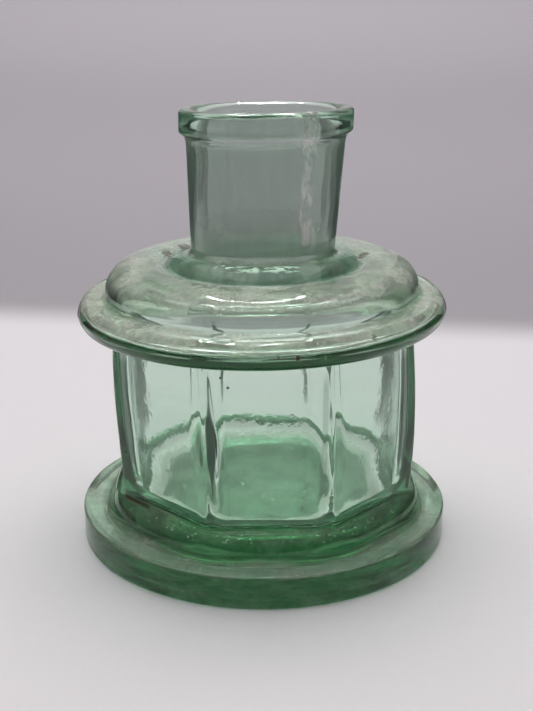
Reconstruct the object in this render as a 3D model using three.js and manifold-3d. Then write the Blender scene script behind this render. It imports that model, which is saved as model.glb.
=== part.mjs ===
// A moulded glass ink bottle, empty and with nothing in its mouth. It is one piece of glass round
// one hollow: a thick round base plate, an eight-sided body, a shoulder of a flange with a thick
// roll on it, and a short flared neck with a collar. The walls are thin, and the hollow follows the
// outside round the flange and the roll. The glass stands a little crooked: the body leans one way,
// the neck leans back, and the shoulder and the lip are not quite level.
//
// Millimetres, +Z up. The origin is the middle of the resting plane, and one panel faces -Y.
// A revolved outline is drawn as (radius, height), from the bottom up.

import * as THREE from 'three';
import { mergeVertices } from 'three/addons/utils/BufferGeometryUtils.js';
import Module from 'manifold-3d';

// Base plate, with a shallow recess pressed into its underside inside the ring that it rests on
const baseRadius = 28.5;
const baseWallHeight = 4.8;
const baseEdgeRadius = 0.35;
const baseTopRise = 0.6;
const restingRingInnerRadius = 24.3;
const recessHeight = 0.3;
const recessEdgeHeight = 0.18;
const recessEdgeWidth = 0.9;

// Eight-sided body on a rounded plinth. Each measure across is to the middle of a panel.
const panelCount = 8;
const panelTurn = THREE.MathUtils.degToRad(1.5);
const plinthReach = 2.6;
const plinthLand = 0.1;
const footHeight = 8.6;
const footApothem = 21.5;
const widestApothem = 22.2;
const widestHeight = 23.5;
const bodyTop = 33.6;
const panelCornerRadius = 0.9;

// Shoulder: a flange, then a roll of superelliptic section, then the groove round the neck
const flangeRadius = 27.7;
const flangeLandRadius = 26.2;
const flangeMiddle = 36.05;
const flangeHalfHeight = 2;
const flangeEdgePull = { inward: 0.4, upward: 0.6 };
const flangeInnerLand = { radius: 25, rise: 0.2 };
const rollCentreRadius = 18.57;
const rollMiddle = 38.54;
const rollRise = 4.5;
const rollOuterReach = 4.98;
const rollOuterSquareness = 2.28;
const rollInnerReach = 4.3;
const rollInnerSquareness = 3.5;
const rollStartDegrees = -6;
const rollEndDegrees = 138;
const grooveRadius = 14.3;
const grooveHeight = 42.35;

// Neck and lip. An apron slopes up from the groove to the neck's foot.
const apronRadius = 11.7;
const apronHeight = 43.95;
const apronPull = { radius: 13.8, height: 43.6 };
const neckFootRadius = 10.8;
const neckFootHeight = 45.2;
const neckWaistRadius = 11.2;
const neckWaistHeight = 53;
const neckTopRadius = 11.64;
const neckTopHeight = 60.4;
const collarRadius = 12.7;
const collarBottom = 62;
const collarBevel = 0.2;
const collarPull = { outward: 0.1, downward: 0.5 };
const lipTop = 65.35;
const lipEdgeRadius = 0.6;

// Hollow. Inside the shoulder it is drawn as curves, each a pull point and then an end point.
const boreFootRadius = 9.4;
const boreFootHeight = 43.2;
const boreWaistRadius = 9.75;
const boreTopRadius = 10.3;
const boreTopDepth = 1;
const mouthChamfer = 1.4;
const hollowFootApothem = 18.9;
const hollowApothem = 20.1;
const hollowCornerRadius = 6;
const hollowFloor = 7.6;
const hollowRounding = 3.4;
const hollowBodyTop = 34.4;
const hollowWallTop = 31.2;
const underFlange = [20.2, 34.3, 22, 35];
const insideFlangeLow = [25.6, 35.2, 25.8, 36.1];
const insideFlangeHigh = [25.8, 36.6, 23.2, 36.6];
const insideCrease = [21.8, 36.6, 21.65, 37.44];
const insideRollOuter = [21.55, 40.54, 19.17, 40.74];
const insideRollInner = [17.67, 40.84, 16.87, 40.04];
const underGroove = [15.4, 38.6, 13, 39.2];
const intoBore = [9.4, 40.2, boreFootRadius, boreFootHeight];
const insideShoulder = [underFlange, insideFlangeLow, insideFlangeHigh, insideCrease, insideRollOuter,
  insideRollInner, underGroove, intoBore];

// Crookedness: how far the middle stands off the axis in X at each height, and the slope in X
// (right side up) and in Y (front side up) of what was level in the mould.
const leanHeights = [baseWallHeight, footHeight, 18, 31, 39, 45.5, lipTop];
const leanOffsets = [0, 0.45, 0.3, -0.22, -0.3, -0.1, 0.4];
const slopeHeights = [baseWallHeight, footHeight, flangeMiddle, 43.05, 44, 47, neckTopHeight, lipTop];
const slopesInX = [0, 0, 0.016, 0.01, 0.01, 0.01, 0.015, 0.015];
const slopesInY = [0, 0, 0, 0, -0.06, 0, 0, -0.028];

// Fineness, and how far a cutting or joining body reaches past the face that it meets
const turnSegments = 48;
const bodySteps = 5;
const rollSteps = 9;
const edgeFineness = 1;
const curveFineness = 3;
const overlap = 1;
const weldDistance = 1e-4;

// Pale aqua-green glass
const glassColour = 0x9dc4ae;
const glassRoughness = 0.08;
const glassOpacity = 0.35;

const wasm = await Module();
wasm.setup();

// A closed surface as a solid. Triangles that shrink to a line at the axis are dropped.
function solidFrom(geometry) {
  geometry.deleteAttribute('normal');
  geometry.deleteAttribute('uv');
  const merged = mergeVertices(geometry, weldDistance);
  const corners = merged.index.array;
  const kept = [];
  for (let i = 0; i < corners.length; i += 3) {
    const [a, b, c] = [corners[i], corners[i + 1], corners[i + 2]];
    if (a !== b && b !== c && c !== a) {
      kept.push(a, b, c);
    }
  }
  const vertProperties = new Float32Array(merged.getAttribute('position').array);
  const mesh = new wasm.Mesh({ numProp: 3, vertProperties, triVerts: new Uint32Array(kept) });
  return new wasm.Manifold(mesh);
}

// An outline that starts and ends on the axis, turned about +Z.
function revolve(outline, fineness) {
  const geometry = new THREE.LatheGeometry(outline.getPoints(fineness), turnSegments);
  geometry.rotateX(Math.PI / 2);
  return solidFrom(geometry);
}

// A regular polygon with rounded corners, one flat side towards -Y before its small turn.
function roundedPolygon(apothem, cornerRadius) {
  const halfStep = Math.PI / panelCount;
  const centreDistance = (apothem - cornerRadius) / Math.cos(halfStep);
  const shape = new THREE.Shape();
  for (let i = 0; i < panelCount; i += 1) {
    const direction = panelTurn + halfStep * (2 * i + 1);
    const x = centreDistance * Math.cos(direction);
    const y = centreDistance * Math.sin(direction);
    shape.absarc(x, y, cornerRadius, direction - halfStep, direction + halfStep, false);
  }
  shape.closePath();
  return shape;
}

function basePlate() {
  const outline = new THREE.Path();
  const edgeCentre = baseRadius - baseEdgeRadius;
  outline.moveTo(0, 0);
  outline.lineTo(edgeCentre, 0);
  outline.absarc(edgeCentre, baseEdgeRadius, baseEdgeRadius, -Math.PI / 2, 0, false);
  outline.absarc(edgeCentre, baseWallHeight - baseEdgeRadius, baseEdgeRadius, 0, Math.PI / 2, false);
  outline.lineTo(footApothem + plinthReach, baseWallHeight + baseTopRise);
  outline.lineTo(0, baseWallHeight + baseTopRise);
  return revolve(outline, edgeFineness);
}

// The recess under the base plate, as a body to cut away.
function recess() {
  const outline = new THREE.Path();
  outline.moveTo(0, -overlap);
  outline.lineTo(restingRingInnerRadius, -overlap);
  outline.lineTo(restingRingInnerRadius, 0);
  outline.lineTo(restingRingInnerRadius - recessEdgeWidth, recessEdgeHeight);
  outline.quadraticCurveTo(restingRingInnerRadius / 2, recessHeight, 0, recessHeight);
  return revolve(outline, curveFineness);
}

// The rounded step that the panels stand on.
function plinth() {
  const shape = roundedPolygon(footApothem, panelCornerRadius);
  const geometry = new THREE.ExtrudeGeometry(shape, {
    depth: plinthLand,
    bevelThickness: plinthReach,
    bevelSize: plinthReach,
    bevelSegments: curveFineness,
    curveSegments: edgeFineness,
  });
  geometry.translate(0, 0, footHeight - plinthReach - plinthLand);
  return solidFrom(geometry);
}

// The panels swell a little between the foot and the flange.
function panelledBody() {
  const bottom = footHeight - overlap;
  const shape = roundedPolygon(widestApothem, panelCornerRadius);
  const geometry = new THREE.ExtrudeGeometry(shape, {
    depth: bodyTop + overlap - bottom,
    steps: bodySteps,
    bevelEnabled: false,
    curveSegments: edgeFineness,
  });
  geometry.translate(0, 0, bottom);
  const places = geometry.getAttribute('position');
  for (let i = 0; i < places.count; i += 1) {
    const share = (places.getZ(i) - widestHeight) / (widestHeight - footHeight);
    const narrowing = 1 - (1 - footApothem / widestApothem) * share * share;
    places.setXY(i, places.getX(i) * narrowing, places.getY(i) * narrowing);
  }
  return solidFrom(geometry);
}

// Adds the roll's section to an outline, from low outside, over the top, to high inside. It is
// squarer towards the neck than it is outside.
function addRoll(outline) {
  const start = THREE.MathUtils.degToRad(rollStartDegrees);
  const end = THREE.MathUtils.degToRad(rollEndDegrees);
  for (let i = 0; i <= rollSteps; i += 1) {
    const angle = THREE.MathUtils.lerp(start, end, i / rollSteps);
    const outside = angle < Math.PI / 2;
    const reach = outside ? rollOuterReach : rollInnerReach;
    const power = 2 / (outside ? rollOuterSquareness : rollInnerSquareness);
    const across = Math.sign(Math.cos(angle)) * Math.abs(Math.cos(angle)) ** power;
    const up = Math.sign(Math.sin(angle)) * Math.abs(Math.sin(angle)) ** power;
    outline.lineTo(rollCentreRadius + reach * across, rollMiddle + rollRise * up);
  }
}

function shoulderAndNeck() {
  const outline = new THREE.Path();
  const flangeBottom = flangeMiddle - flangeHalfHeight;
  const flangeTop = flangeMiddle + flangeHalfHeight;
  const flangeEdge = flangeRadius - flangeEdgePull.inward;
  const lowPull = flangeBottom + flangeEdgePull.upward;
  const highPull = flangeTop - flangeEdgePull.upward;
  const collarPullRadius = neckTopRadius + collarPull.outward;
  const lipEdge = lipTop - lipEdgeRadius;
  outline.moveTo(0, bodyTop);
  outline.lineTo(footApothem, bodyTop);
  outline.lineTo(flangeLandRadius, flangeBottom);
  outline.quadraticCurveTo(flangeEdge, lowPull, flangeRadius, flangeMiddle);
  outline.quadraticCurveTo(flangeEdge, highPull, flangeLandRadius, flangeTop);
  outline.lineTo(flangeInnerLand.radius, flangeTop + flangeInnerLand.rise);
  addRoll(outline);
  outline.lineTo(grooveRadius, grooveHeight);
  outline.quadraticCurveTo(apronPull.radius, apronPull.height, apronRadius, apronHeight);
  outline.quadraticCurveTo(neckFootRadius, apronHeight, neckFootRadius, neckFootHeight);
  outline.quadraticCurveTo(neckWaistRadius, neckWaistHeight, neckTopRadius, neckTopHeight);
  outline.quadraticCurveTo(collarPullRadius, collarBottom - collarPull.downward,
    collarRadius - collarBevel, collarBottom);
  outline.lineTo(collarRadius, lipEdge);
  outline.absarc(collarRadius - lipEdgeRadius, lipEdge, lipEdgeRadius, 0, Math.PI / 2, false);
  outline.lineTo(0, lipTop);
  return revolve(outline, curveFineness);
}

// The round part of the hollow: the space inside the shoulder, the bore and the chamfered mouth.
function hollowAbove() {
  const outline = new THREE.Path();
  const mouthRadius = boreTopRadius + mouthChamfer;
  const boreTop = lipTop - boreTopDepth;
  outline.moveTo(0, hollowWallTop - overlap);
  outline.lineTo(hollowFootApothem, hollowWallTop - overlap);
  outline.lineTo(hollowApothem, hollowWallTop);
  for (const [pullRadius, pullHeight, radius, height] of insideShoulder) {
    outline.quadraticCurveTo(pullRadius, pullHeight, radius, height);
  }
  outline.quadraticCurveTo(boreWaistRadius, neckWaistHeight, boreTopRadius, boreTop);
  outline.lineTo(mouthRadius, boreTop + mouthChamfer);
  outline.lineTo(mouthRadius, lipTop + overlap);
  outline.lineTo(0, lipTop + overlap);
  return revolve(outline, curveFineness);
}

// The eight-sided part of the hollow. It is rounder at its corners than the outside, has rounded
// edges all along its floor and its top, and narrows towards its floor.
function hollowInBody() {
  const rounding = hollowRounding;
  const shape = roundedPolygon(hollowApothem - rounding, hollowCornerRadius - rounding);
  const wallFoot = hollowFloor + rounding;
  const geometry = new THREE.ExtrudeGeometry(shape, {
    depth: hollowBodyTop - rounding - wallFoot,
    steps: bodySteps,
    bevelThickness: rounding,
    bevelSize: rounding,
    bevelSegments: curveFineness,
    curveSegments: edgeFineness,
  });
  geometry.translate(0, 0, wallFoot);
  const places = geometry.getAttribute('position');
  for (let i = 0; i < places.count; i += 1) {
    const share = (widestHeight - places.getZ(i)) / (widestHeight - wallFoot);
    const below = THREE.MathUtils.clamp(share, 0, 1);
    const narrowing = 1 - (1 - hollowFootApothem / hollowApothem) * below * below;
    places.setXY(i, places.getX(i) * narrowing, places.getY(i) * narrowing);
  }
  return solidFrom(geometry);
}

// The value at a height, on straight lines between the listed heights.
function valueAt(height, heights, values) {
  const last = heights.length - 1;
  let i = 0;
  while (i < last - 1 && height > heights[i + 1]) {
    i += 1;
  }
  const share = THREE.MathUtils.clamp((height - heights[i]) / (heights[i + 1] - heights[i]), 0, 1);
  return THREE.MathUtils.lerp(values[i], values[i + 1], share);
}

// The finished solid as a mesh geometry, with its crookedness put in point by point.
function settledGeometry(solid) {
  const { vertProperties, triVerts } = solid.getMesh();
  const places = new Float32Array(vertProperties);
  for (let i = 0; i < places.length; i += 3) {
    const [x, y, z] = places.slice(i, i + 3);
    places[i] = x + valueAt(z, leanHeights, leanOffsets);
    places[i + 2] = z + x * valueAt(z, slopeHeights, slopesInX) + y * valueAt(z, slopeHeights, slopesInY);
  }
  const geometry = new THREE.BufferGeometry();
  geometry.setAttribute('position', new THREE.BufferAttribute(places, 3));
  geometry.setIndex(new THREE.BufferAttribute(new Uint32Array(triVerts), 1));
  geometry.computeVertexNormals();
  return geometry;
}

function bottleMesh() {
  const outside = basePlate().add(plinth()).add(panelledBody()).add(shoulderAndNeck());
  const hollow = hollowAbove().add(hollowInBody());
  const glass = outside.subtract(hollow).subtract(recess());
  const material = new THREE.MeshStandardMaterial({
    color: glassColour,
    roughness: glassRoughness,
    metalness: 0,
    transparent: true,
    opacity: glassOpacity,
  });
  const mesh = new THREE.Mesh(settledGeometry(glass), material);
  mesh.name = 'glass_bottle';
  return mesh;
}

const inkBottle = new THREE.Group();
inkBottle.add(bottleMesh());

export default inkBottle;
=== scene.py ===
"""A moulded aqua glass ink bottle, empty and open, on a pale table under a ring of small lamps.

The bottle is one closed glass wall. It is built as rings of points: from the middle of the underside,
up the outside, over the lip, down the bore and round the hollow to the middle of its floor. Each ring
is a circle, a rounded octagon, or something between. Lengths here are in millimetres, +Z up, with the
origin in the middle of the resting plane, and are turned into metres when the meshes are made.
"""

import math
from types import SimpleNamespace

import bpy
import numpy as np
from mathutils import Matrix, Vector, noise


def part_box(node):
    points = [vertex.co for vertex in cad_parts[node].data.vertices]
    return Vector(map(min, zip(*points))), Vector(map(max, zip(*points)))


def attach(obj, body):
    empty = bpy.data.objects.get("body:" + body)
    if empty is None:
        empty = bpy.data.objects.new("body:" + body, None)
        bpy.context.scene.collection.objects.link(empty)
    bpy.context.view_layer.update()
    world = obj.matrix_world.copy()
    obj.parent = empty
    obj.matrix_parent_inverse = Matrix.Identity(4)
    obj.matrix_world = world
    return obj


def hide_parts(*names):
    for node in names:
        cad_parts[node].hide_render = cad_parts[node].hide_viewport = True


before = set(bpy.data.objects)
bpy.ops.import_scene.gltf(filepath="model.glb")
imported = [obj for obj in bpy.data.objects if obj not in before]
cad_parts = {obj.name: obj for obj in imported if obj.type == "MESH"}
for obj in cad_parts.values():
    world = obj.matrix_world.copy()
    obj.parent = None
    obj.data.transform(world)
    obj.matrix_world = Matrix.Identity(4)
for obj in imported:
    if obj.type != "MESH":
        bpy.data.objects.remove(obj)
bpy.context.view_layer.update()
MM = 0.001
TINY = 1e-6           # keeps a division by a length away from nothing
NODE = "glass_bottle"
node_low, node_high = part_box(NODE)

# ---------------------------------------------------------------- driving dimensions, in millimetres
base_radius = (node_high.x - node_low.x) / 2 / MM
base_wall_height = 4.8
base_edge = 0.35
resting_inner_radius = 24.3
recess_height = 0.3
recess_edge_height = 0.18
recess_edge_width = 0.9

PANELS = 8
panel_turn = math.radians(1.5)
foot_height = 8.6
foot_apothem = 21.5
widest_apothem = 22.2
widest_height = 23.5
body_top = 33.6
panel_corner = 0.9
plinth_reach = 2.6
plinth_rise = 3.2
plinth_corner = 12
moat_radius, moat_height = 25.6, 4.72
rim_radius, rim_height = 27.4, 4.92

flange_radius = 27.7
flange_land = 26.2
flange_middle = 36.05
flange_half = 2.0
roll_radius = 18.57
roll_middle = 38.54
roll_rise = 4.5
roll_outer, roll_outer_power = 4.98, 2.28
roll_inner, roll_inner_power = 4.3, 3.5
groove_radius = 14.3
groove_height = 42.35

neck_foot_radius, neck_foot_height = 10.8, 45.2
neck_apron_radius, neck_apron_height = 11.7, 43.95
neck_foot_lift = 0.75
neck_waist_radius, neck_waist_height = 11.2, 53.0
neck_top_radius, neck_top_height = 11.64, 60.4
collar_radius, collar_bottom = 12.7, 62.0
lip_top = 65.35
lip_edge = 0.6

bore_foot_radius, bore_waist_radius, bore_top_radius = 9.4, 9.75, 10.3
bore_foot_height = 43.2
dip_radius, dip_height = 13.0, 39.2
mouth_chamfer = 1.0
hollow_apothem = 18.9
hollow_apothem_top = 20.1
hollow_corner = 6.0
hollow_floor = 7.6
floor_rounding = 3.4
hollow_body_top = 31.2

# How far the middle stands off the axis in X, and the slopes in X and in Y, at each height
lean_heights = (4.8, 8.6, 18, 31, 39, 45.5, 65.35)
lean_offsets = (0, 0.45, 0.3, -0.22, -0.3, -0.1, 0.4)
slope_heights = (4.8, 8.6, 36.05, 43, 60.4, 65.35)
slopes_in_x = (0, 0, 0.016, 0.01, 0.015, 0.015)
slopes_in_y = (0, 0, 0, 0, 0, -0.028)

# Upright ridges inside the corners, from the front left one round to the right: how thick each is,
# and the height and length of the swollen part in it
ridge_thickness = (0.5, 0.2, 0.4, 0.3, 0.4, 0.25, 0.4, 0.45)
ridge_swelling = (1.0, 0.0, 0.3, 0.0, 0.4, 0.0, 0.2, 0.5)
ridge_middle, ridge_length, ridge_width = 21.0, 4.2, 0.6
ridge_foot, ridge_top = 10.5, 32.5

# The frosted border of the floor, rough and partly painted light, measured out across the floor and then up
# the wall: where it starts and ends, how much further it reaches at the back, where it is narrow in front
# and by how much, and how far the floor's middle stands off the axis
frost_start, frost_end, frost_lift = 14.6, 17.8, 1.7
frost_gap, frost_narrowing = (-3.4, 3.6), 1.7
floor_offset = 0.4

# Specks of dirt, each a place and a size: two in the groove at the left and one at the right, one
# inside the lip and four on the flange. Then the dark seeds in the front panel.
dirt_specks = (((-14.6, 5.3, 42.4), 1.1), ((-12.6, 9.8, 42.6), 0.9), ((15.0, 3.0, 42.6), 1.0),
               ((8.6, -8.2, 63.6), 0.9), ((14.7, -22.6, 37.6), 0.4), ((4.5, -27.2, 36.2), 0.35),
               ((1.8, -27.4, 36.3), 0.3), ((-4.0, -25.6, 37.9), 0.3))
seeds = ((-5.8, -22.0, 31.7), (-4.8, -22.1, 30.3), (6.4, -22.1, 32.0))
seed_size = 0.18

# Colours of the glass in its depth and at its surface, of what lies on it, and of the painted shade and
# painted glints on it
GLASS_GREEN = (0.0, 0.56, 0.227, 1)
glass_density = 75.0
CLEAR_TONE, UNEVEN_TONE = (0.99, 1.0, 0.985, 1), (0.955, 0.98, 0.965, 1)
NECK_GREYER_TONE, DUSTY_TONE = (0.90, 0.93, 0.905, 1), (0.85, 0.83, 0.77, 1)
DUST_DARK, DUST_PALE = (0.48, 0.47, 0.40, 1), (0.80, 0.79, 0.73, 1)
BORE_GREY = (0.46, 0.48, 0.46, 1)
# Near white for the frosting, partly painted light, and for the neck's flaw
FROST_AND_PAINTED_LIGHT = (1.0, 0.94, 0.96, 1)
# Painted shade for the groove, the dark line round the frosting and the corner ribs, and a painted glint
# colour
PAINTED_SHADE_GREEN, RIB_PAINTED_SHADE = (0.035, 0.14, 0.075, 1), (0.015, 0.10, 0.045, 1)
PAINTED_GLINT = (0.80, 1.0, 0.84, 1)
DIRT = (0.055, 0.035, 0.02, 1)

PAPER_PALE, PAPER_GREY = (0.815, 0.78, 0.80, 1), (0.785, 0.75, 0.77, 1)
# The backdrop's colours carry painted shade and light: darkest near the paper, lighter further back and
# higher up
BACKDROP_SHADE_NEAR, BACKDROP_LIGHT_FAR = (0.385, 0.363, 0.386, 1), (0.515, 0.485, 0.52, 1)
BACKDROP_LIGHT_HIGH = (0.655, 0.615, 0.66, 1)
CARD = (0.03, 0.06, 0.045)
SURROUNDINGS = (1.0, 0.975, 1.0, 1)

# The sheet that is the table and the backdrop. It narrows behind the bottle.
table_front, table_back, sheet_bend = -900, 130, 330
bend_radius, backdrop_top = 150, 900
table_half_width, backdrop_half_width = 900, 170
table_drop = 0.04
# Where the paper ends, in metres: how far it slants, and where the soft line starts and ends
paper_slant, paper_end = 0.1256, (0.100, 0.126)

# The ring of lamps, and the dark cards, each from its near end to its far end
LAMPS = 52
lamp_size, lamp_strength = 4.0, 700
lamp_ring_middle, lamp_ring_reach = (-12, 78, 250), (54, 84)
card_near, card_far, card_height = (41, 28), (56, 175), 150

# How bright the surroundings are at the sides, in the dark gaps, overhead and on the camera's side,
# and the one soft light over the bottle, its place and size in metres
side_light, gap_light, top_light, front_light = 0.185, 0.028, 0.32, 0.12
overhead_power, overhead_place, overhead_size = 3.15, (0, 0.14, 0.6), (0.7, 0.5)

camera_place, camera_dip = (0.43, -167.92, 82.23), 0.314
camera_lens, camera_sensor = 57.97, 36

SIDES = 31          # points round the glass for each of the eight sectors
CROWDING = 1.5      # how much closer together they are at the corners


# ---------------------------------------------------------------- outline helpers
def ring(radius, height, share=0, corner=0):
    """A ring of the glass: its radius and height, and for an octagon its share of one and the radius of
    its corners."""
    return (radius, height, share, corner)


def line(a, b, n):
    """Rings from a towards b, without b, closer together at the ends so that an edge stays crisp."""
    a, b = np.array(a, float), np.array(b, float)
    steps = 0.5 - 0.5 * np.cos(np.linspace(0, math.pi, n, endpoint=False))
    return [tuple(a + (b - a) * t) for t in steps]


def bend(a, b, c, n):
    """A quadratic curve from a, pulled towards b, to c, without c."""
    a, b, c = (np.array(p, float) for p in (a, b, c))
    steps = np.linspace(0, 1, n, endpoint=False)
    return [tuple(a * (1 - t) ** 2 + b * 2 * t * (1 - t) + c * t * t) for t in steps]


def bow(centre, reach, rise, start, end, n, share=(0, 0), corner=(0, 0), power=2.0):
    """A superelliptic arc between two angles in degrees, without its last point."""
    made = []
    for t in np.linspace(0, 1, n, endpoint=False):
        angle = math.radians(start + (end - start) * t)
        c, s = math.cos(angle), math.sin(angle)
        across = math.copysign(abs(c) ** (2 / power), c)
        up = math.copysign(abs(s) ** (2 / power), s)
        made.append(ring(centre[0] + reach * across, centre[1] + rise * up,
                         share[0] + (share[1] - share[0]) * t, corner[0] + (corner[1] - corner[0]) * t))
    return made


def body_apothem(z):
    share = (z - widest_height) / (widest_height - foot_height)
    return widest_apothem * (1 - (1 - foot_apothem / widest_apothem) * share * share)


def underside_rings():
    """From the middle of the recess out over the resting ring and up the wall of the base plate."""
    recess = resting_inner_radius - recess_edge_width
    recess_edge = ring(recess, recess_edge_height)
    edge = base_radius - base_edge
    rings = bend(ring(0.0, recess_height), ring(recess / 2, recess_height), recess_edge, 10)
    rings += line(recess_edge, ring(resting_inner_radius, 0), 7)
    rings += line(ring(resting_inner_radius, 0), ring(edge, 0), 5)
    rings += bow((edge, base_edge), base_edge, base_edge, -90, 0, 5)
    rings += line(ring(base_radius, base_edge), ring(base_radius, base_wall_height - base_edge), 6)
    rings += bow((edge, base_wall_height - base_edge), base_edge, base_edge, 0, 80, 5)
    return rings


def base_top_rings():
    """Over the rim of the base plate, down into the channel and up the plinth to the panels' foot."""
    wide = foot_apothem + plinth_reach
    foot = foot_height - plinth_rise
    edge = ring(base_radius - base_edge, base_wall_height + 0.02)
    rim = ring(rim_radius - 0.3, rim_height - 0.03)
    moat = ring(moat_radius, moat_height, 0.1, plinth_corner)
    plinth_foot = ring(wide - 0.06, foot + 0.5, 0.6, plinth_corner)
    panel_foot = ring(foot_apothem + 0.02, foot_height + 0.35, 1, panel_corner)
    rings = bend(edge, ring(rim_radius + 0.2, rim_height + 0.05), rim, 5)
    rings += bend(rim, ring(moat_radius + 0.7, moat_height), moat, 7)
    rings += bend(moat, ring(wide + 0.35, moat_height + 0.05, 0.45, plinth_corner), plinth_foot, 9)
    rings += bow((foot_apothem, foot), plinth_reach, plinth_rise, 12, 83, 16,
                 (0.6, 1), (plinth_corner, panel_corner + 1))
    rings += bend(ring(foot_apothem + 0.35, foot_height, 1, panel_corner),
                  ring(foot_apothem, foot_height, 1, panel_corner), panel_foot, 5)
    return rings


def panel_rings():
    """Up the panels and out under the flange."""
    bend_height = body_top - 0.7
    top = body_apothem(bend_height)
    rings = []
    for z in np.linspace(foot_height + 0.35, bend_height, 18, endpoint=False):
        rings.append(ring(body_apothem(z), z, 1, panel_corner))
    rings += bend(ring(top, bend_height, 1, panel_corner), ring(top + 0.05, body_top, 0.9, panel_corner),
                  under_flange_start(), 5)
    return rings


def under_flange_start():
    return ring(body_apothem(body_top - 0.7) + 0.9, body_top + 0.1, 0.8, panel_corner + 1)


def shoulder_rings():
    """The flange, the roll and the groove, up to the neck."""
    low, high = flange_middle - flange_half, flange_middle + flange_half
    edge = flange_radius - 0.35
    low_land, high_land = ring(flange_land, low), ring(flange_land, high)
    tip = ring(flange_radius, flange_middle)
    rings = line(under_flange_start(), low_land, 8)
    rings += bend(low_land, ring(edge, low + 0.35), tip, 12)
    rings += bend(tip, ring(edge, high - 0.35), high_land, 12)
    fillet = ring(roll_radius + roll_outer, high + 0.1)
    before_fillet = ring(fillet[0] + 0.9, fillet[1])
    rings += line(high_land, before_fillet, 6)
    rings += bend(before_fillet, fillet, ring(fillet[0] - 0.05, fillet[1] + 0.9), 8)
    rings += bow((roll_radius, roll_middle), roll_outer, roll_rise, 9, 90, 20, power=roll_outer_power)
    rings += bow((roll_radius, roll_middle), roll_inner, roll_rise, 90, 134, 12, power=roll_inner_power)
    groove_end = ring(groove_radius - 0.15, groove_height + 0.25)
    rings += bend(ring(groove_radius + 0.6, groove_height), ring(groove_radius, groove_height - 0.05),
                  groove_end, 5)
    apron = ring(neck_apron_radius, neck_apron_height)
    rings += bend(groove_end, ring(groove_radius - 0.5, neck_apron_height - 0.35), apron, 8)
    rings += bend(apron, ring(neck_foot_radius, neck_apron_height + 0.15),
                  ring(neck_foot_radius, neck_foot_height), 7)
    return rings


def neck_rings():
    """The neck, the collar and the lip, as far as the mouth."""
    neck_top = ring(neck_top_radius, neck_top_height)
    collar_start = ring(collar_radius - 0.15, collar_bottom)
    collar_face = ring(collar_radius, collar_bottom + 0.5)
    mouth_edge = ring(bore_top_radius + mouth_chamfer, lip_top)
    rings = bend(ring(neck_foot_radius, neck_foot_height), ring(neck_waist_radius, neck_waist_height),
                 neck_top, 18)
    rings += bend(neck_top, ring(neck_top_radius + 0.1, collar_bottom - 0.5), collar_start, 8)
    rings += bend(collar_start, ring(collar_radius, collar_bottom + 0.1), collar_face, 3)
    rings += line(collar_face, ring(collar_radius, lip_top - lip_edge), 5)
    rings += bow((collar_radius - lip_edge, lip_top - lip_edge), lip_edge, lip_edge, 0, 90, 8)
    rings += line(ring(collar_radius - lip_edge, lip_top), mouth_edge, 3)
    rings += bend(mouth_edge, ring(mouth_edge[0] - 0.5, lip_top - 0.05),
                  ring(bore_top_radius, lip_top - mouth_chamfer), 8)
    return rings


def hollow_rings():
    """Down the bore, round the inside of the roll and the flange, down the walls and over the floor."""
    bore_foot = ring(bore_foot_radius, bore_foot_height)
    rings = bend(ring(bore_top_radius, lip_top - mouth_chamfer), ring(bore_waist_radius, neck_waist_height),
                 bore_foot, 20)
    dip = ring(dip_radius, dip_height)
    rings += bend(bore_foot, ring(bore_foot_radius, dip_height + 1.0), dip, 14)
    top_start = ring(roll_radius - 1.7, roll_middle + roll_rise - 3.0)
    rings += bend(dip, ring(dip_radius + 2.4, dip_height - 0.6), top_start, 9)
    crown = ring(roll_radius + 0.6, roll_middle + roll_rise - 2.3)
    rings += bend(top_start, ring(roll_radius - 0.9, crown[1] + 0.1), crown, 6)
    crease = ring(roll_radius + roll_outer - 1.9, roll_middle - 1.1)
    rings += bend(crown, ring(crease[0] - 0.1, crown[1] - 0.2), crease, 12)
    shelf = ring(crease[0] + 1.55, flange_middle + 0.55)
    rings += bend(crease, ring(crease[0] + 0.15, shelf[1]), shelf, 6)
    tip = ring(flange_radius - 1.9, flange_middle + 0.05)
    rings += bend(shelf, ring(tip[0], shelf[1]), tip, 8)
    under = ring(crease[0] + 0.35, tip[1] - 1.1, 0.3, hollow_corner)
    rings += bend(tip, ring(tip[0] - 0.2, tip[1] - 0.9), under, 8)
    wall_top = ring(hollow_apothem_top, hollow_body_top, 1, hollow_corner)
    rings += bend(under, ring(hollow_apothem_top + 0.1, tip[1] - 1.8, 0.8, hollow_corner), wall_top, 10)
    wall_foot = ring(hollow_apothem, hollow_floor + floor_rounding, 1, hollow_corner)
    rings += bend(wall_top, ring(hollow_apothem_top, widest_height - 5, 1, hollow_corner), wall_foot, 22)
    floor_apothem, floor_corner = hollow_apothem - floor_rounding, hollow_corner - floor_rounding
    rings += bow((floor_apothem, hollow_floor + floor_rounding), floor_rounding, floor_rounding,
                 0, -90, 16, (1, 1), (hollow_corner, floor_corner))
    rings += line(ring(floor_apothem, hollow_floor, 1, floor_corner), ring(0.0, hollow_floor), 18)
    return rings


def turns():
    """Directions round the bottle, closer together at the eight corners than across the panels."""
    half = math.pi / PANELS
    t = np.linspace(-1, 1, SIDES, endpoint=False)
    spread = half * np.sign(t) * (1 - (1 - np.abs(t)) ** CROWDING)
    return np.concatenate([spread + panel_turn - math.pi / 2 + k * 2 * half for k in range(PANELS)])


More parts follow.
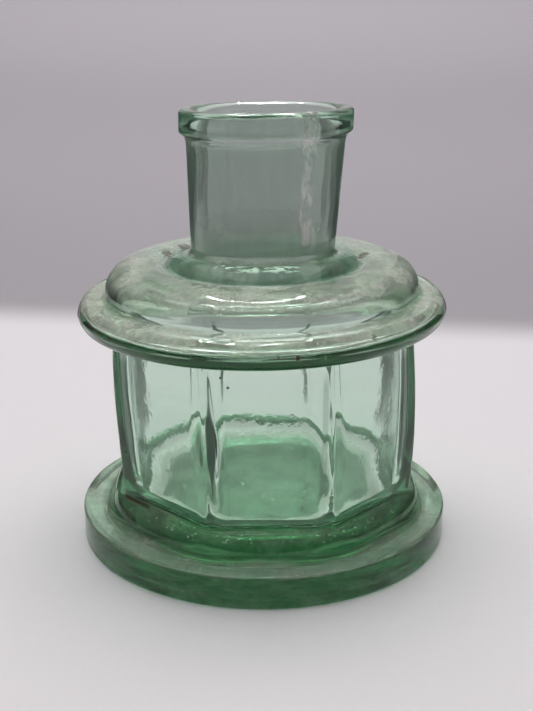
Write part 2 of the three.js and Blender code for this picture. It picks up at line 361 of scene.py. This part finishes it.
def ridges(angles, radius, z):
    """How far the ridges inside the corners stand in from the wall at each height."""
    half = math.pi / PANELS
    made = np.zeros(len(angles))
    on_wall = np.clip((z - ridge_foot) / 3, 0, 1) * np.clip((ridge_top - z) / 2, 0, 1)
    for k in range(PANELS):
        corner = panel_turn - math.pi / 2 - half + 2 * half * k
        away = (angles - corner + math.pi) % (2 * math.pi) - math.pi
        swelling = ridge_swelling[k] * math.exp(-((z - ridge_middle) / ridge_length) ** 2)
        width = ridge_width * (1 + 0.7 * swelling)
        thickness = ridge_thickness[k] * (0.35 + swelling)
        made += on_wall * thickness * np.exp(-(radius * away / width) ** 2)
    return made


def reach(angles, radius, share, corner):
    """How far a ring reaches in each direction."""
    if share <= 0 or radius <= 0:
        return np.full(len(angles), radius)
    half = math.pi / PANELS
    local = (angles - panel_turn + math.pi / 2 + half) % (2 * half) - half
    off = np.abs(local)
    corner = min(corner, radius * 0.99)
    flat_end = math.atan((radius - corner) * math.tan(half) / radius)
    centre = (radius - corner) / math.cos(half)
    flat = radius / np.cos(off)
    delta = half - off
    under = np.maximum(corner ** 2 - (centre * np.sin(delta)) ** 2, 0)
    rounded = centre * np.cos(delta) + np.sqrt(under)
    octagon = np.where(off <= flat_end, flat, rounded)
    return share * octagon + (1 - share) * radius


def smooth_value(z, heights, values):
    """The value at each height, on straight lines between the listed heights, eased at their corners."""
    taps = np.linspace(-2.4, 2.4, 13)
    weights = np.exp(-0.5 * (taps / 1.1) ** 2)
    weights /= weights.sum()
    return sum(w * np.interp(z + t, heights, values) for w, t in zip(weights, taps))


def wave(points, scale, seed):
    """Smooth noise between about -1 and 1 at points, with that wavelength."""
    shift = Vector((seed * 17.3, seed * -5.1, seed * 9.7))
    return np.array([noise.noise(Vector(p) / scale + shift) for p in points])


def glass_grid():
    """Every point of the glass, ring by ring, and how many of the rings are on the outside."""
    outer = underside_rings() + base_top_rings() + panel_rings() + shoulder_rings() + neck_rings()
    rings = outer + hollow_rings()
    angles = turns()
    grid = np.empty((len(rings), len(angles), 3))
    for i, (radius, z, share, corner) in enumerate(rings):
        r = reach(angles, radius, share, corner)
        if i >= len(outer) and z < flange_middle - flange_half:
            r = r - ridges(angles, radius, z)
        grid[i, :, 0] = r * np.cos(angles)
        grid[i, :, 1] = r * np.sin(angles)
        grid[i, :, 2] = z
    return grid, len(outer)


def make_uneven(points, length, level, inner):
    """Pushes the walls in and out along the radius, and the floor and the base plate up and down."""
    radial = points.copy()
    radial[:, 2] = 0
    direction = radial / np.maximum(length, TINY)[:, None]
    broad = wave(points, 9.0, 1)
    fine = wave(points, 2.2, 2)
    walls = np.where(inner, 0.16 * broad + 0.022 * fine, 0.035 * broad)
    on_neck = np.clip((level - neck_foot_height) / 3, 0, 1)
    upright = points * np.array((1, 1, 0.12))
    walls += np.where(inner, 0.05, 0.015) * on_neck * wave(upright, 2.6, 5)
    off_axis = np.clip(length / 6, 0, 1)
    points[:, :2] += direction[:, :2] * (walls * off_axis)[:, None]
    on_floor = inner & (level < hollow_floor + floor_rounding)
    points[:, 2] += np.where(on_floor, 0.10 * wave(points, 7.0, 3) + 0.015 * wave(points, 1.8, 4), 0)
    on_base = ~inner & (level > base_wall_height) & (level < foot_height)
    points[:, 2] += np.where(on_base, 0.06 * wave(points, 4.0, 6), 0)


def lift_neck_foot(points, length, level, inner):
    """The neck's foot stands higher in front, where the glass is thick, than behind, where it is thin."""
    forward = -points[:, 1] / np.maximum(length, TINY)
    forward = np.where(inner, np.minimum(forward, 0), forward)
    within = np.clip((groove_radius + 0.2 - length) / 1.5, 0, 1)
    start = np.where(inner, dip_height - 1.0, groove_height)
    near_foot = np.clip(level - start, 0, 1) * np.clip((neck_foot_height + 1.8 - level) / 2.5, 0, 1)
    points[:, 2] += neck_foot_lift * forward * within * near_foot


def settle(points, level):
    """The lean and the slopes of everything above the base plate, which stays flat and upright."""
    x, y = points[:, 0].copy(), points[:, 1].copy()
    points[:, 0] = x + smooth_value(level, lean_heights, lean_offsets)
    points[:, 2] += x * smooth_value(level, slope_heights, slopes_in_x)
    points[:, 2] += y * smooth_value(level, slope_heights, slopes_in_y)
    base = level <= base_wall_height
    points[base, 0] = x[base]
    points[base, 2] = level[base]


def closed_mesh(name, grid):
    """One closed surface through all the rings. The first and the last ring shrink to one point each."""
    count, n, _ = grid.shape
    vertices = [grid[0].mean(0)]
    for points in grid[1:]:
        vertices += list(points)
    end = len(vertices)
    vertices.append(grid[-1].mean(0))

    def at(row, k):
        return 1 + (row - 1) * n + k % n

    faces = [(0, at(1, k + 1), at(1, k)) for k in range(n)]
    for row in range(1, count - 1):
        faces += [(at(row, k), at(row, k + 1), at(row + 1, k + 1), at(row + 1, k)) for k in range(n)]
    faces += [(at(count - 1, k), at(count - 1, k + 1), end) for k in range(n)]
    return mesh_object(name, vertices, faces)


def mesh_object(name, vertices, faces, smooth=True):
    """A new object from points in millimetres."""
    mesh = bpy.data.meshes.new(name)
    mesh.from_pydata([(x * MM, y * MM, z * MM) for x, y, z in vertices], [], faces)
    mesh.polygons.foreach_set("use_smooth", [smooth] * len(mesh.polygons))
    mesh.update()
    made = bpy.data.objects.new(name, mesh)
    bpy.context.scene.collection.objects.link(made)
    return made


def build_bottle():
    grid, outer_count = glass_grid()
    count, n, _ = grid.shape
    points = grid.reshape(-1, 3)
    level = points[:, 2].copy()
    length = np.hypot(points[:, 0], points[:, 1])
    inner = np.repeat(np.arange(count) >= outer_count, n)
    make_uneven(points, length, level, inner)
    lift_neck_foot(points, length, level, inner)
    settle(points, level)
    return closed_mesh("bottle_glass", grid)


# ---------------------------------------------------------------- materials
class Graph:
    """Short ways to add nodes to the tree of one material or world."""

    def __init__(self, tree):
        self.nodes, self.links = tree.nodes, tree.links

    def add(self, kind, **settings):
        node = self.nodes.new(kind)
        for name, value in settings.items():
            setattr(node, name, value)
        return node

    def put(self, socket, value):
        """Links an output to an input, or sets a plain value on it."""
        if isinstance(value, bpy.types.NodeSocket):
            self.links.new(value, socket)
        else:
            socket.default_value = value

    def calc(self, operation, *values):
        node = self.add("ShaderNodeMath", operation=operation)
        for socket, value in zip(node.inputs, values):
            self.put(socket, value)
        return node.outputs[0]

    def fold(self, operation, values):
        """The values taken together two by two, from the first to the last."""
        result = values[0]
        for value in values[1:]:
            result = self.calc(operation, result, value)
        return result

    def times(self, *values):
        return self.fold("MULTIPLY", values)

    def plus(self, *values):
        return self.fold("ADD", values)

    def most(self, *values):
        return self.fold("MAXIMUM", values)

    def minus(self, first, second):
        return self.calc("SUBTRACT", first, second)

    def rise(self, value, low, high):
        """0 below the first limit, 1 above the second, and a smooth step between them."""
        node = self.add("ShaderNodeMapRange", interpolation_type="SMOOTHSTEP")
        for name, setting in (("Value", value), ("From Min", low), ("From Max", high)):
            self.put(node.inputs[name], setting)
        return node.outputs["Result"]

    def fall(self, value, low, high):
        """1 below the first limit, 0 above the second, and a smooth step between them."""
        return self.minus(1, self.rise(value, low, high))

    def window(self, value, low, high, soft):
        """1 between the limits and 0 outside them, with soft ends."""
        return self.times(self.rise(value, low - soft, low + soft),
                          self.fall(value, high - soft, high + soft))

    def mix(self, factor, first, second):
        node = self.add("ShaderNodeMix", data_type="RGBA")
        self.put(node.inputs["Factor"], factor)
        self.put(node.inputs["A"], first)
        self.put(node.inputs["B"], second)
        return node.outputs["Result"]

    def grain(self, place, size, detail=2.0, stretch=(1, 1, 1)):
        """Noise between 0 and 1 with that size in millimetres, longer where the stretch is greater."""
        spread = self.add("ShaderNodeVectorMath", operation="MULTIPLY")
        self.put(spread.inputs[0], place)
        spread.inputs[1].default_value = [1 / (size * MM * s) for s in stretch]
        node = self.add("ShaderNodeTexNoise")
        self.put(node.inputs["Vector"], spread.outputs[0])
        self.put(node.inputs["Scale"], 1.0)
        self.put(node.inputs["Detail"], detail)
        return node.outputs["Fac"]

    def wander(self, place, size, detail, width):
        """Noise centred on 0 and that wide from end to end."""
        return self.times(self.minus(self.grain(place, size, detail), 0.5), width)

    def apart(self, vector):
        node = self.add("ShaderNodeSeparateXYZ")
        self.links.new(vector, node.inputs[0])
        return node.outputs

    def spot(self, place, centre, size):
        """1 within that many millimetres of a point, fading out to half as far again."""
        node = self.add("ShaderNodeVectorMath", operation="DISTANCE")
        self.put(node.inputs[0], place)
        node.inputs[1].default_value = [c * MM for c in centre]
        return self.fall(node.outputs["Value"], size * MM, size * 1.5 * MM)


def where_on_bottle(g):
    """Where a point of the glass is, in millimetres, which way it faces, and how it lies in the octagon."""
    place = g.add("ShaderNodeTexCoord").outputs["Object"]
    x, y, z = [g.calc("DIVIDE", value, MM) for value in g.apart(place)]
    normal_z = g.apart(g.add("ShaderNodeNewGeometry").outputs["Normal"])[2]
    radius = g.calc("SQRT", g.plus(g.times(x, x), g.times(y, y)))
    half = math.pi / PANELS
    turned = g.plus(g.calc("ARCTAN2", y, x), 2 * math.pi + math.pi / 2 - panel_turn + half)
    in_sector = g.calc("MODULO", turned, 2 * half)
    return SimpleNamespace(
        place=place, x=x, y=y, z=z, radius=radius,
        up=g.rise(normal_z, 0.15, 0.75),
        in_hollow=g.times(g.rise(z, 7, 8), g.fall(radius, 20.6, 20.9), g.fall(z, 38, 39)),
        across=g.times(radius, g.calc("COSINE", g.minus(in_sector, half))),
        corner_gap=g.times(g.calc("MINIMUM", in_sector, g.minus(2 * half, in_sector)), radius),
        patches=g.rise(g.grain(place, 5.0, 4.0), 0.36, 0.66),
        fine=g.grain(place, 0.7, 3.0))


def dusting(g, at):
    """Dust on whatever faces up, in patches, but little in the hollow, on the plinth or in the groove."""
    plinth = g.window(at.z, 5.6, foot_height, 0.3)
    groove = g.times(g.fall(at.radius, 15.2, 16.4), g.rise(at.z, 40, 41))
    clean = g.most(plinth, groove, at.in_hollow)
    patchy = g.plus(0.35, g.times(at.patches, 0.65))
    return g.times(at.up, patchy, g.plus(0.5, at.fine), g.minus(1, g.times(clean, 0.65)))


def frost_and_painted_outline(g, at):
    """The frosted border of the floor, where the hollow was chilled as it was blown, painted near white as
    well, which is painted light for the bright paper seen through the floor's rounding, and round it a dark
    line of painted shade. It reaches further up at the back and is broken in the middle of the front."""
    off_axis = g.times(g.calc("DIVIDE", at.x, at.radius), floor_offset)
    climb = g.plus(g.minus(at.across, off_axis), g.minus(at.z, hollow_floor))
    climb = g.plus(climb, g.plus(g.wander(at.place, 0.6, 4.0, 1.5), g.wander(at.place, 4.0, 2.0, 1.8)))
    gap_low, gap_high = frost_gap
    gap = g.times(g.window(at.x, gap_low, gap_high, 0.5), g.fall(at.y, -12, -10))
    past_inner = g.minus(climb, g.calc("MULTIPLY_ADD", gap, frost_narrowing, frost_start))
    past_outer = g.minus(climb, g.calc("MULTIPLY_ADD", g.rise(at.y, 0, 12), frost_lift, frost_end))
    frost_and_painted_light = g.times(at.in_hollow, g.rise(past_inner, -0.15, 0.25), g.fall(past_outer, -0.15, 0.15))
    outline_shade = g.times(at.in_hollow, g.window(past_outer, 0.1, 0.95, 0.2))
    return frost_and_painted_light, outline_shade


def bore_grey_film(g, at):
    """The inside of the bore down to the dip, and a grey film over it, streaked and thickest at the foot.
    """
    bore_limit = g.calc("MULTIPLY_ADD", at.z, 0.0225, 9.29)
    in_neck = g.times(g.fall(g.minus(at.radius, bore_limit), -0.05, 0.05), g.window(at.z, 42.6, 62.5, 0.6))
    in_dip = g.times(g.fall(at.radius, 13.3, 13.5), g.window(at.z, 38.9, 42.9, 0.3))
    in_bore = g.most(in_neck, in_dip)
    at_foot = g.times(g.fall(at.z, 46, 50), 0.3)
    streaks = g.times(g.grain(at.place, 1.4, 3.0, (1, 1, 9)), 0.28)
    return in_bore, g.times(in_bore, g.plus(0.2, g.plus(at_foot, streaks)))


def groove_painted_light(g, at):
    """Painted shade, painted light and painted highlights for glass that is thick here and bends light: a
    dark green painted into the groove, a pale band painted over it, and bright broken glints painted in the
    groove and along the top of the plinth in front."""
    outside_foot = g.times(g.rise(at.z, 41.4, 41.9), g.fall(at.z, 46, 47))
    groove_shade = g.times(outside_foot, g.window(at.radius, 12.0, 15.0, 0.35),
                   g.rise(g.grain(at.place, 3.2, 3.0), 0.36, 0.58))
    painted_glint = g.times(outside_foot, g.window(at.radius, 12.0, 13.4, 0.3), g.window(at.x, -7, 5.5, 1.5),
                    g.fall(at.y, -4, -2), g.rise(g.grain(at.place, 0.5, 3.0, (3, 1, 1)), 0.42, 0.56))
    on_plinth = g.times(g.window(at.z, 7.4, 8.5, 0.25), g.rise(at.radius, 21.2, 21.5),
                        g.fall(at.y, -15, -12), g.rise(g.grain(at.place, 0.4, 2.0, (2, 1, 1)), 0.62, 0.70))
    apron = g.times(outside_foot, g.window(at.radius, 11.0, 11.9, 0.2),
                    g.rise(g.grain(at.place, 1.2, 3.0, (2, 2, 1)), 0.35, 0.6))
    return groove_shade, apron, g.most(painted_glint, g.times(on_plinth, 0.7))


def corner_rib_shade(g, at):
    """Painted shade for the dark green that thick glass shows along each corner of the walls, widest in the
    swelling of the front left ridge and at the two sides, and faint at the front right."""
    swelling = g.times(g.window(at.z, 17, 25.5, 2.5), g.window(at.x, -11, -5, 1))
    uneven = g.times(g.rise(g.grain(at.place, 9.0, 1.0, (1, 1, 4)), 0.4, 0.62), 0.3)
    at_sides = g.times(g.rise(g.calc("ABSOLUTE", at.x), 18, 19.5), 1.1)
    width = g.plus(uneven, g.times(swelling, 0.5), at_sides)
    rib_shade = g.times(g.fall(at.corner_gap, width, g.plus(width, 0.25)), g.window(at.z, 13, 31, 1.5),
                  g.rise(at.radius, 17, 18), g.fall(at.radius, 22.0, 22.2))
    right_front = g.times(g.window(at.x, 5, 12, 1), g.fall(at.y, -12, -8))
    strength = g.minus(g.calc("MULTIPLY_ADD", swelling, 0.15, 0.8), g.times(right_front, 0.5))
    return g.times(rib_shade, strength)


def neck_flaw(g, at):
    """A flaw down the front right of the neck."""
    along = g.window(g.plus(at.x, g.times(g.grain(at.place, 3.0), 1.6)), 6.0, 7.6, 0.5)
    return g.times(along, g.rise(at.z, 45.5, 48), g.fall(at.y, -4, -2),
                   g.rise(g.grain(at.place, 1.6, 4.0, (1, 1, 3)), 0.42, 0.6))


def dirt_marks(g, at):
    """Specks of dirt, three dark seeds in the front panel, a dark line and crumbs at the panels' foot,
    and pepper in the dust."""
    dirt = 0.0
    for centre, size in dirt_specks:
        dirt = g.most(dirt, g.spot(at.place, centre, size))
    dirt = g.times(dirt, g.rise(g.grain(at.place, 0.45, 3.0), 0.34, 0.50))
    for centre in seeds:
        dirt = g.most(dirt, g.spot(at.place, centre, seed_size))
    foot_line = g.times(g.window(at.z, 8.45, 8.75, 0.08), g.rise(at.radius, 20.9, 21.1))
    crack = g.times(foot_line, g.window(at.x, -21.0, -16.8, 0.3), g.fall(at.y, -2, 0))
    crumbs = g.times(foot_line, g.rise(g.grain(at.place, 0.5, 3.0), 0.55, 0.68))
    pepper = g.times(at.up, g.rise(g.grain(at.place, 0.55, 1.0), 0.70, 0.76), at.patches)
    return g.most(dirt, crack, g.times(crumbs, 0.7), g.times(pepper, 0.6))


def glass_material():
    """Clear green glass with a thin film over it in places: dust, dirt, frosting, a grey film in the bore,
    and painted shade, painted pale light and painted glints where thick glass bends light. The green is in
    the depth of the glass.
    """
    material = bpy.data.materials.new("aqua_glass")
    material.use_nodes = True
    g = Graph(material.node_tree)
    at = where_on_bottle(g)
    dust = dusting(g, at)
    frost_and_painted_light, outline_shade = frost_and_painted_outline(g, at)
    in_bore, bore_grey = bore_grey_film(g, at)
    # Painted shade, painted pale light and painted glints in the groove and on the plinth, and painted
    # shade on the corner ribs
    groove_shade, apron, painted_glint = groove_painted_light(g, at)
    rib_shade = corner_rib_shade(g, at)
    flaw = neck_flaw(g, at)
    dirt = dirt_marks(g, at)

    surface = g.nodes["Principled BSDF"]
    # A greyer tone on the glass from the groove up
    neck_greying = g.times(g.rise(at.z, 42, 45), g.plus(0.75, g.times(at.patches, 0.25)))
    tone = g.mix(g.grain(at.place, 12.0, 2.0), CLEAR_TONE, UNEVEN_TONE)
    tone = g.mix(neck_greying, tone, NECK_GREYER_TONE)
    tone = g.mix(g.times(dust, 0.5), tone, DUSTY_TONE)
    g.put(surface.inputs["Base Color"], tone)
    roughness = g.plus(0.02, g.times(g.grain(at.place, 4.0, 3.0), 0.03))
    roughness = g.plus(roughness, g.times(g.most(frost_and_painted_light, flaw), 0.25))
    g.put(surface.inputs["Roughness"], roughness)
    surface.inputs["IOR"].default_value = 1.51
    surface.inputs["Transmission Weight"].default_value = 1.0
    # Fine ripples: strongest on the frosted border, weaker on the other walls of the hollow
    bump = g.add("ShaderNodeBump")
    ripples = g.plus(g.grain(at.place, 0.8, 3.0), g.grain(at.place, 2.4, 2.0, (1, 1, 2)))
    g.put(bump.inputs["Height"], ripples)
    g.put(bump.inputs["Strength"], g.plus(g.times(at.in_hollow, 0.4), g.times(frost_and_painted_light, 0.6)))
    bump.inputs["Distance"].default_value = 0.05 * MM
    g.put(surface.inputs["Normal"], bump.outputs[0])

    film = g.add("ShaderNodeBsdfPrincipled")
    # The film's colour and cover: dust, a grey film in the bore, frosting and the flaw, dirt, and painted
    # shade, painted pale light and painted glints
    colour = g.mix(g.times(at.fine, 0.5), DUST_DARK, DUST_PALE)
    for layer, paint in ((in_bore, BORE_GREY), (g.most(frost_and_painted_light, flaw), FROST_AND_PAINTED_LIGHT), (g.most(outline_shade, groove_shade), PAINTED_SHADE_GREEN),
                         (rib_shade, RIB_PAINTED_SHADE), (painted_glint, PAINTED_GLINT), (dirt, DIRT)):
        colour = g.mix(layer, colour, paint)
    g.put(film.inputs["Base Color"], colour)
    film.inputs["Roughness"].default_value = 0.85
    cover = g.times(dust, g.plus(0.34, g.times(g.rise(at.z, 33, 36), 0.14)))
    for layer, share in ((bore_grey, 1.0), (frost_and_painted_light, 0.92), (outline_shade, 0.75), (groove_shade, 0.42), (apron, 0.45),
                         (painted_glint, 0.92), (flaw, 0.55), (rib_shade, 1.0), (dirt, 0.85)):
        cover = g.most(cover, g.times(layer, share))

    both = g.add("ShaderNodeMixShader")
    g.put(both.inputs[0], g.calc("MINIMUM", cover, 0.9))
    g.links.new(surface.outputs[0], both.inputs[1])
    g.links.new(film.outputs[0], both.inputs[2])
    g.links.new(both.outputs[0], g.nodes["Material Output"].inputs["Surface"])
    depth = g.add("ShaderNodeVolumeAbsorption")
    depth.inputs["Color"].default_value = GLASS_GREEN
    depth.inputs["Density"].default_value = glass_density
    g.links.new(depth.outputs[0], g.nodes["Material Output"].inputs["Volume"])
    return material


def plain_material(name, colour, roughness):
    material = bpy.data.materials.new(name)
    material.use_nodes = True
    surface = material.node_tree.nodes["Principled BSDF"]
    surface.inputs["Base Color"].default_value = (*colour, 1)
    surface.inputs["Roughness"].default_value = roughness
    surface.inputs["Specular IOR Level"].default_value = 0.2
    return material


def table_material():
    """Pale paper as far as a soft slanting line, and a darker backdrop beyond it with painted shade and
    light:
    painted darkest near the paper and lighter further back and higher up. Distances here are in metres."""
    material = plain_material("table_paper", PAPER_PALE[:3], 0.8)
    g = Graph(material.node_tree)
    surface = g.nodes["Principled BSDF"]
    place = g.add("ShaderNodeTexCoord").outputs["Object"]
    x, y, z = g.apart(place)
    beyond = g.rise(g.calc("MULTIPLY_ADD", x, paper_slant, y), *paper_end)
    paper = g.mix(g.grain(place, 0.6, 3.0), PAPER_PALE, PAPER_GREY)
    # Painted shade and light on the backdrop: darkest near the paper, lighter further back and higher up
    backdrop = g.mix(g.rise(y, 0.12, 0.46), BACKDROP_SHADE_NEAR, BACKDROP_LIGHT_FAR)
    backdrop = g.mix(g.rise(z, 0.02, 0.075), backdrop, BACKDROP_LIGHT_HIGH)
    g.put(surface.inputs["Base Color"], g.mix(beyond, paper, backdrop))
    return material


# ---------------------------------------------------------------- stage
def stage_sheet():
    """A table that turns up into a backdrop well behind the bottle."""
    profile = [(y, 0.0) for y in np.linspace(table_front, sheet_bend, 24)]
    for t in np.linspace(0, math.pi / 2, 14)[1:]:
        profile.append((sheet_bend + bend_radius * math.sin(t), bend_radius * (1 - math.cos(t))))
    for z in np.linspace(bend_radius, backdrop_top, 8)[1:]:
        profile.append((sheet_bend + bend_radius, z))
    across = np.linspace(-1, 1, 13)
    vertices = []
    for y, z in profile:
        half = table_half_width if y < table_back else backdrop_half_width
        vertices += [(t * half, y, z - table_drop) for t in across]
    m = len(across)
    faces = [(i * m + k, i * m + k + 1, (i + 1) * m + k + 1, (i + 1) * m + k)
             for i in range(len(profile) - 1) for k in range(m - 1)]
    sheet = mesh_object("stage_sheet", vertices, faces)
    sheet.data.materials.append(table_material())


def show_in_glass_only(thing):
    """Leaves a thing in reflections and behind the glass, and out of the plain view and the shadows."""
    thing.visible_camera = False
    thing.visible_diffuse = False
    thing.visible_shadow = False


def lamp_ring():
    """A loop of small bright lamps above the bottle, seen only in reflections and through the glass."""
    material = bpy.data.materials.new("lamp_dot")
    material.use_nodes = True
    nodes, links = material.node_tree.nodes, material.node_tree.links
    nodes.remove(nodes["Principled BSDF"])
    glow = nodes.new("ShaderNodeEmission")
    glow.inputs["Color"].default_value = (1, 1, 1, 1)
    glow.inputs["Strength"].default_value = lamp_strength
    links.new(glow.outputs[0], nodes["Material Output"].inputs["Surface"])
    middle, reach_in_x, reach_in_y = lamp_ring_middle, *lamp_ring_reach
    half = lamp_size / 2
    vertices, faces = [], []
    for i in range(LAMPS):
        a = 2 * math.pi * i / LAMPS
        x, y = middle[0] + reach_in_x * math.cos(a), middle[1] + reach_in_y * math.sin(a)
        k = len(vertices)
        for dx, dy in ((-half, -half), (half, -half), (half, half), (-half, half)):
            vertices.append((x + dx, y + dy, middle[2]))
        faces.append((k, k + 3, k + 2, k + 1))
    dots = mesh_object("lamp_dots", vertices, faces, smooth=False)
    dots.data.materials.append(material)
    show_in_glass_only(dots)


def dark_card(name, side):
    """An upright dark card beside the backdrop, seen only in and through the glass, to darken its edges.
    The side is -1 for the left and 1 for the right."""
    (near_x, near_y), (far_x, far_y) = card_near, card_far
    corners = [(side * near_x, near_y, 0), (side * far_x, far_y, 0),
               (side * far_x, far_y, card_height), (side * near_x, near_y, card_height)]
    card = mesh_object(name, corners, [(0, 1, 2, 3)], smooth=False)
    card.data.materials.append(plain_material(name, CARD, 0.9))
    show_in_glass_only(card)


def overhead_light():
    data = bpy.data.lights.new("overhead", "AREA")
    data.shape = "RECTANGLE"
    data.size, data.size_y = overhead_size
    data.energy = overhead_power
    data.color = (1, 1, 1)
    lamp = bpy.data.objects.new("overhead", data)
    lamp.location = overhead_place
    lamp.rotation_euler = (-Vector(overhead_place)).to_track_quat("-Z", "Y").to_euler()
    lamp.visible_glossy = False
    bpy.context.scene.collection.objects.link(lamp)


def surroundings():
    """Even pale surroundings with a dark gap on either side of the backdrop, brighter overhead and
    dimmer on the side that the camera is on. Bearings are in radians from straight behind the bottle."""
    world = bpy.data.worlds.new("studio")
    bpy.context.scene.world = world
    world.use_nodes = True
    g = Graph(world.node_tree)
    x, y, z = g.apart(g.add("ShaderNodeTexCoord").outputs["Generated"])
    bearing = g.calc("ABSOLUTE", g.calc("ARCTAN2", x, y))
    gap = g.times(g.rise(bearing, 0.24, 0.34), g.fall(bearing, 1.0, 1.5))
    front = g.rise(bearing, 2.0, 2.6)
    high = g.rise(z, 0.35, 0.75)
    around = g.minus(side_light, g.times(gap, side_light - gap_light))
    around = g.minus(around, g.times(front, side_light - front_light))
    strength = g.plus(g.times(around, g.minus(1, high)), g.times(high, top_light))
    shade = g.nodes["Background"]
    shade.inputs["Color"].default_value = SURROUNDINGS
    g.put(shade.inputs["Strength"], strength)


def camera():
    data = bpy.data.cameras.new("camera")
    data.sensor_width = camera_sensor
    data.lens = camera_lens
    data.clip_start, data.clip_end = 0.01, 20
    eye = bpy.data.objects.new("camera", data)
    eye.location = [c * MM for c in camera_place]
    eye.rotation_euler = (math.pi / 2 - camera_dip, 0, 0)
    bpy.context.scene.collection.objects.link(eye)
    bpy.context.scene.camera = eye


# ---------------------------------------------------------------- put together
camera()
bottle = build_bottle()
bottle.data.materials.append(glass_material())
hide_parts(NODE)
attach(bottle, "root")
stage_sheet()
lamp_ring()
dark_card("dark_card_left", -1)
dark_card("dark_card_right", 1)
surroundings()
overhead_light()

scene = bpy.context.scene
scene.view_settings.view_transform = "Standard"
scene.cycles.use_adaptive_sampling = False
scene.cycles.max_bounces = 18
scene.cycles.transmission_bounces = 18
scene.cycles.glossy_bounces = 12
scene.cycles.sample_clamp_indirect = 30
